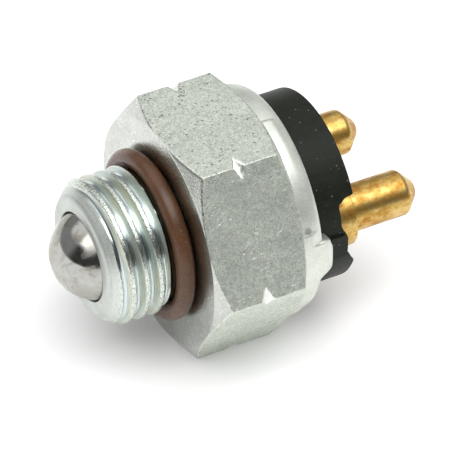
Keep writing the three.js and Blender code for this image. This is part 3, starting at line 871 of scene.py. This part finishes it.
def moulded_base():
    """The base with its key, two pockets, their notches through the wall, and the holes for the shanks."""
    near, far = centre_of("terminal_near"), centre_of("terminal_far")
    base = turned("moulded_base", [
        (BASE_FRONT, CAVITY_R, 0.1), (BASE_FRONT, BASE_FLANGE_R, 0.1),
        (BASE_FLANGE_BACK, BASE_FLANGE_R, 0.1), (BASE_FLANGE_BACK, BASE_R, 0.08),
        (BASE_BACK, BASE_R, 0.08), (BASE_BACK, 0.0),
        (CAVITY_BACK, 0.0), (CAVITY_BACK, CAVITY_R, 0.3),
    ], segments=160, closed=True)
    key_low, key_high = (math.radians(clock) * BASE_R for clock in (KEY_FROM, KEY_TO))
    key = wall_block("key", [
        (key_low, BASE_FLANGE_BACK - 1), (key_low, KEY_END, 0.1), (key_high, KEY_END, KEY_CORNER),
        (key_high, BASE_FLANGE_BACK - 1),
    ], BASE_R - 0.4, KEY_R)
    solid_cut(base, [key], "UNION")
    for half, centre in ((0, near), (180, far)):
        pocket = turned("pocket", [
            (POCKET_FLOOR, 0.0), (POCKET_FLOOR, POCKET_R, 0.12), (BASE_BACK - 0.1, POCKET_R, 0.05),
            (BASE_BACK + 0.1, POCKET_R + 0.2), (BASE_BACK + 1, POCKET_R + 0.2), (BASE_BACK + 1, 0.0),
        ], centre, 96)
        shank_hole = turned("shank_hole", [
            (CAVITY_BACK - 1, 0.0), (CAVITY_BACK - 1, SHANK_HOLE_R), (BASE_BACK, SHANK_HOLE_R),
            (BASE_BACK, 0.0),
        ], centre, 48)
        limit = turned("limit", [
            (POCKET_FLOOR - 1, 0.0), (POCKET_FLOOR - 1, POCKET_LIMIT_R), (BASE_BACK + 2, POCKET_LIMIT_R),
            (BASE_BACK + 2, 0.0),
        ], segments=160)
        solid_cut(pocket, [limit], "INTERSECT")
        corners = [(across, BASE_BACK - depth, *fillet) for across, depth, *fillet in NOTCH_CORNERS]
        notch = wall_block("notch", corners, POCKET_LIMIT_R - 0.6, BASE_R + 2, half)
        solid_cut(base, [pocket, shank_hole, notch])
    edge = base.modifiers.new("worn_edges", "BEVEL")
    edge.width = 0.07 * MM
    edge.segments = 2
    edge.limit_method = "ANGLE"
    edge.angle_limit = math.radians(40)
    base.data.polygons.foreach_set("use_smooth", [True] * len(base.data.polygons))
    base.data.set_sharp_from_angle(angle=math.radians(35))
    return base


base_piece = moulded_base()
base_piece.data.materials.clear()
base_piece.data.materials.append(phenolic())

# ---- seals, ball and terminals

o_ring = seal_ring("brown_o_ring", "seat_o_ring", O_RING_WIRE_R, 128)
brown_rubber = rubber("brown_rubber", (0.094, 0.043, 0.021), (0.132, 0.061, 0.030), 0.24, 0.36)
o_ring.data.materials.append(brown_rubber)


def ball():
    """The ball as a rounded cube of even quads, so that its surface has no poles."""
    side = np.tan(np.linspace(-math.pi / 4, math.pi / 4, BALL_GRID))
    points, faces = [], []
    for axis in range(3):
        for sign in (-1, 1):
            first = len(points)
            for a in side:
                for b in side:
                    corner = np.roll([sign, a, b], axis)
                    points.append(corner / np.linalg.norm(corner) * BALL_R * MM)
            for i in range(BALL_GRID - 1):
                for j in range(BALL_GRID - 1):
                    k = first + i * BALL_GRID + j
                    faces.append((k, k + 1, k + BALL_GRID + 1, k + BALL_GRID))
    centre = np.array([SEAT_X + BALL_CENTRE * MM, 0, AXIS_Z])
    return mesh_object("steel_ball", np.array(points) + centre, faces, 60)


ball_piece = ball()
ball_piece.data.materials.append(ball_steel())

brass_finish = brass()


def terminal(side):
    """A bullet terminal: pin, flange in the pocket, shank, and the head riveted inside the base."""
    first = stations(f"terminal_{side}")[0]
    piece = turned(f"brass_terminal_{side}", [
        (first, 0.0), (first, RIVET_HEAD_R, 0.16), (RIVET_HEAD_BACK, RIVET_HEAD_R, 0.08),
        (RIVET_HEAD_BACK, SHANK_R, 0.04), (POCKET_FLOOR + 0.05, SHANK_R, 0.04),
        (POCKET_FLOOR + 0.05, TERMINAL_FLANGE_R, 0.12), (TERMINAL_FLANGE_BACK, TERMINAL_FLANGE_R, 0.08),
        (TERMINAL_FLANGE_BACK, PIN_R, 0.12), (PIN_SHOULDER, PIN_R, 0.28), (PIN_TIP - 0.05, 0.72, 0.36),
        (PIN_TIP, 0.0),
    ], centre_of(f"terminal_{side}"), 72)
    piece.data.materials.append(brass_finish)
    return piece


terminals = {side: terminal(side) for side in ("near", "far")}

# ---- the pieces inside

finishes = {
    "brass": brass_finish,
    "spring_steel": plain_metal("spring_steel", (0.42, 0.42, 0.41), (0.54, 0.54, 0.53), 0.24, 0.38),
    "plain_steel": plain_metal("plain_steel", (0.46, 0.46, 0.45), (0.60, 0.60, 0.59), 0.28, 0.42),
    "silver_contact": plain_metal("silver_contact", (0.74, 0.72, 0.68), (0.88, 0.86, 0.82), 0.18, 0.32),
    "black_rubber": rubber("black_rubber", (0.010, 0.010, 0.010), (0.020, 0.020, 0.020), 0.40, 0.55),
    "red_fibre": fibre(),
    "nylon": nylon(),
}


def plunger():
    """The cup that holds the ball, its seal groove, and the stepped stem with its clip groove."""
    edge = math.asin(SEAT_EDGE_R / SEAT_R)
    cup = [(BALL_CENTRE + SEAT_R * math.cos(a), SEAT_R * math.sin(a)) for a in np.linspace(0, edge, 15)]
    front = cup[-1][0]
    return turned("plunger_turning", [
        *cup, (front, PLUNGER_R - PLUNGER_CHAMFER, 0.06), (front + PLUNGER_CHAMFER, PLUNGER_R, 0.06),
        (SEAL_GROOVE_FRONT, PLUNGER_R, 0.05), (SEAL_GROOVE_FRONT, SEAL_GROOVE_R, 0.15),
        (SEAL_GROOVE_BACK, SEAL_GROOVE_R, 0.15), (SEAL_GROOVE_BACK, PLUNGER_R, 0.05),
        (PLUNGER_BACK, PLUNGER_R, 0.12), (PLUNGER_BACK, STEM_R, 0.15), (STEM_STEP, STEM_R, 0.1),
        (STEM_STEP, STEM_TIP_R, 0.08), (CLIP_GROOVE_FRONT, STEM_TIP_R, 0.03),
        (CLIP_GROOVE_FRONT, CLIP_GROOVE_R, 0.03), (CLIP_GROOVE_BACK, CLIP_GROOVE_R, 0.03),
        (CLIP_GROOVE_BACK, STEM_TIP_R, 0.03), (STEM_END, STEM_TIP_R, 0.12), (STEM_END, 0.0),
    ])


def washer(name, node, inner_r, centre=(0.0, 0.0), edge=0.06):
    """A flat ring in a CAD node's place, with its edges rounded over."""
    first, last = stations(node)
    outer_r = outer_radius(node)
    return turned(name, [
        (first, inner_r, edge), (first, outer_r, edge), (last, outer_r, edge), (last, inner_r, edge),
    ], centre, closed=True)


def crimp_washer():
    """The fibre washer under the crimped rim, cut away where the base's key passes."""
    first, last = stations("crimp_washer")
    outer_r = outer_radius("crimp_washer")
    gap_from, gap_to = KEY_FROM - KEY_SIDE_CLEARANCE, KEY_TO + KEY_SIDE_CLEARANCE
    inner = arc(CRIMP_WASHER_R, gap_to, 360 + gap_from, 120) + arc(KEY_SLOT_R, gap_from, gap_to, 12)
    return plate("crimp_washer_stamping", [circle(outer_r, steps=140), inner], first, last, 0.05)


def contact_bridge():
    """The brass strip that closes the circuit: rounded ends, a middle hole and two contact holes."""
    first, last = stations("contact_bridge")
    reach = BRIDGE_HALF_LENGTH - BRIDGE_HALF_WIDTH
    outline = arc(BRIDGE_HALF_WIDTH, 90, 270, 24, (reach, 0))
    outline += arc(BRIDGE_HALF_WIDTH, -90, 90, 24, (-reach, 0))
    button_holes = [circle(BUTTON_HOLE_R, (side * TERMINAL_OFFSET, 0), 24) for side in (-1, 1)]
    outlines = [outline, circle(BRIDGE_HOLE_R), *button_holes]
    return plate("contact_bridge_strip", outlines, first, last, 0.08, -TERMINAL_CLOCK)


def contact_button(side):
    """A silver contact riveted through the bridge."""
    first, last = stations(f"contact_button_{side}")
    return turned(f"silver_contact_{side}", [
        (first, 0.0), (first, BUTTON_SHANK_R, 0.08), (BUTTON_SEAT, BUTTON_SHANK_R, 0.03),
        (BUTTON_SEAT, BUTTON_HEAD_R, 0.05), (last, BUTTON_HEAD_R, 0.12), (last, 0.0),
    ], centre_of(f"contact_button_{side}"), 64)


def stem_clip():
    """The open clip snapped into the stem's groove."""
    first, last = stations("stem_clip")
    outline = arc(CLIP_OUTER_R, CLIP_FROM, CLIP_TO, 60) + arc(CLIP_INNER_R, CLIP_TO, CLIP_FROM, 40)
    return plate("stem_clip_spring", [outline], first, last, 0.04)


def guide_bush():
    """The flanged bush that guides the stem and backs the return spring."""
    first, last = stations("guide_bush")
    flange_front, flange_r = CHAMBER_START + 0.05, outer_radius("guide_bush")
    return turned("guide_bush_turning", [
        (first, BUSH_BORE_R, 0.12), (first, BORE_R - 0.1, 0.12), (flange_front, BORE_R - 0.1, 0.05),
        (flange_front, flange_r, 0.08), (last, flange_r, 0.08), (last, BUSH_BORE_R, 0.12),
    ], closed=True)


def bridge_carrier():
    """The flanged sleeve that carries the bridge and keeps it off the stem."""
    first, last = stations("bridge_carrier")
    flange_r = outer_radius("bridge_carrier")
    return turned("bridge_carrier_moulding", [
        (first, CARRIER_BORE_R, 0.05), (first, flange_r, 0.12), (CARRIER_FLANGE_BACK, flange_r, 0.12),
        (CARRIER_FLANGE_BACK, CARRIER_SLEEVE_R, 0.08), (last, CARRIER_SLEEVE_R, 0.1),
        (last, CARRIER_BORE_R, 0.05),
    ], closed=True)


# Each hidden piece under the CAD node it replaces.
hidden_pieces = {
    "plunger": plunger(),
    "plunger_seal": seal_ring("plunger_o_ring", "plunger_seal", SEAL_WIRE_R),
    "return_spring": coil("return_coil", "return_spring", coil_r=2.75, wire_r=0.25, turns=5),
    "guide_bush": guide_bush(),
    "base_gasket": washer("base_gasket_ring", "base_gasket", GASKET_INNER_R),
    "crimp_washer": crimp_washer(),
    "bridge_carrier": bridge_carrier(),
    "contact_spring": coil("contact_coil", "contact_spring", coil_r=2.3, wire_r=0.17, turns=3),
    "contact_bridge": contact_bridge(),
    "bridge_washer": washer("bridge_washer_ring", "bridge_washer", CARRIER_BORE_R),
    "stem_clip": stem_clip(),
}
for side in ("near", "far"):
    hidden_pieces[f"contact_button_{side}"] = contact_button(side)
    node = f"rivet_washer_{side}"
    hidden_pieces[node] = washer(f"rivet_washer_ring_{side}", node, SHANK_HOLE_R, centre_of(node))

# ---- what each piece is made of and rides on

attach(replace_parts(housing_piece, "housing"), "switch_body")
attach(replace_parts(base_piece, "insulator_base"), "switch_body")
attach(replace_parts(o_ring, "seat_o_ring"), "switch_body")
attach(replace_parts(ball_piece, "ball"), "ball_group")
for side, piece in terminals.items():
    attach(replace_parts(piece, f"terminal_{side}"), "switch_body")

slots = {
    "plunger": "plain_steel", "plunger_seal": "black_rubber", "return_spring": "spring_steel",
    "guide_bush": "brass", "base_gasket": "red_fibre", "crimp_washer": "red_fibre",
    "bridge_carrier": "nylon", "contact_spring": "spring_steel", "contact_bridge": "brass",
    "bridge_washer": "nylon", "stem_clip": "spring_steel",
    "contact_button_near": "silver_contact", "contact_button_far": "silver_contact",
    "rivet_washer_near": "brass", "rivet_washer_far": "brass",
}
riders = {
    "plunger_group": (
        "plunger", "plunger_seal", "bridge_carrier", "contact_spring", "bridge_washer", "stem_clip",
    ),
    "bridge_group": ("contact_bridge", "contact_button_near", "contact_button_far"),
}
body_of = {node: body for body, nodes in riders.items() for node in nodes}
for node, piece in hidden_pieces.items():
    piece.data.materials.append(finishes[slots[node]])
    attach(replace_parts(piece, node), body_of.get(node, "switch_body"))

return_spring, contact_spring = hidden_pieces["return_spring"], hidden_pieces["contact_spring"]
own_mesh(return_spring)
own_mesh(contact_spring)

# ---- floor, light and camera

FLOOR_REACH = 3.0


def floor():
    corners = ((-1, -1, 0), (1, -1, 0), (1, 1, 0), (-1, 1, 0))
    made = mesh_object("floor", FLOOR_REACH * np.array(corners), [(0, 1, 2, 3)])
    s = Shader("pale_floor", Roughness=0.6, Specular_IOR_Level=0.2)
    s.principled.inputs["Base Color"].default_value = (0.97, 0.97, 0.97, 1)
    s.principled.inputs["Emission Color"].default_value = (1, 1, 1, 1)
    s.principled.inputs["Emission Strength"].default_value = 0.14
    made.data.materials.append(s.material)
    return made


floor()


def studio_world():
    """A studio about the object: a long softbox overhead and a little in front, a pale ceiling behind it,
    a dim room at the back and a dark one in front. The camera itself sees plain white."""
    world = bpy.data.worlds.new("studio")
    bpy.context.scene.world = world
    world.use_nodes = True
    tree = world.node_tree
    s = Nodes(tree)
    x, y, z = s.split(s.node("ShaderNodeTexCoord").outputs["Generated"])
    height = s.math("MAXIMUM", z, 0.02)
    over_x, over_y = s.math("DIVIDE", x, height), s.math("DIVIDE", y, height)

    def window(value, low, high, edge):
        return s.times(s.between(value, low - edge, low + edge), s.between(value, high + edge, high - edge))

    above = s.between(z, 0.0, 0.05)
    box = s.times(window(over_x, -0.95, 0.75, 0.22), window(over_y, -0.72, 0.02, 0.14))
    ceiling = s.times(window(over_x, -1.1, 1.3, 0.3), window(over_y, -0.1, 1.3, 0.3))
    front = s.between(s.plus(s.times(x, -0.42), s.times(y, -0.906)), 0.15, 0.5)
    level = s.plus(s.plus(0.34, s.times(front, -0.27)), s.times(ceiling, 0.74))
    level = s.plus(level, s.times(box, 3.2))
    level = s.plus(s.times(level, above), s.minus(1.0, above))
    light = tree.nodes["Background"]
    s.feed(light.inputs["Color"], s.vector(level, level, level))
    plain = s.node("ShaderNodeBackground")
    plain.inputs["Color"].default_value = (1, 1, 1, 1)
    choose = s.node("ShaderNodeMixShader")
    s.feed(choose.inputs[0], s.node("ShaderNodeLightPath").outputs["Is Camera Ray"])
    tree.links.new(light.outputs[0], choose.inputs[1])
    tree.links.new(plain.outputs[0], choose.inputs[2])
    tree.links.new(choose.outputs[0], tree.nodes["World Output"].inputs["Surface"])


studio_world()

CAMERA_AZIMUTH = -29.32
CAMERA_ELEVATION = 41.67
CAMERA_ROLL = 2.04
CAMERA_DISTANCE = 0.4018
CAMERA_AIM = Vector((-0.00078, -0.00229, 0.01147))
CAMERA_LENS = 349.7


def camera():
    azimuth, elevation = math.radians(CAMERA_AZIMUTH), math.radians(CAMERA_ELEVATION)
    level = math.cos(elevation)
    back = Vector((math.sin(azimuth) * level, -math.cos(azimuth) * level, math.sin(elevation)))
    data = bpy.data.cameras.new("camera")
    data.lens = CAMERA_LENS
    data.sensor_width = 36
    data.clip_start, data.clip_end = 0.01, 20
    made = bpy.data.objects.new("camera", data)
    bpy.context.scene.collection.objects.link(made)
    turn = (-back).to_track_quat("-Z", "Y").to_matrix() @ Matrix.Rotation(math.radians(CAMERA_ROLL), 3, "Z")
    made.matrix_world = Matrix.Translation(CAMERA_AIM + back * CAMERA_DISTANCE) @ turn.to_4x4()
    bpy.context.scene.camera = made


camera()
bpy.context.scene.view_settings.view_transform = "Standard"
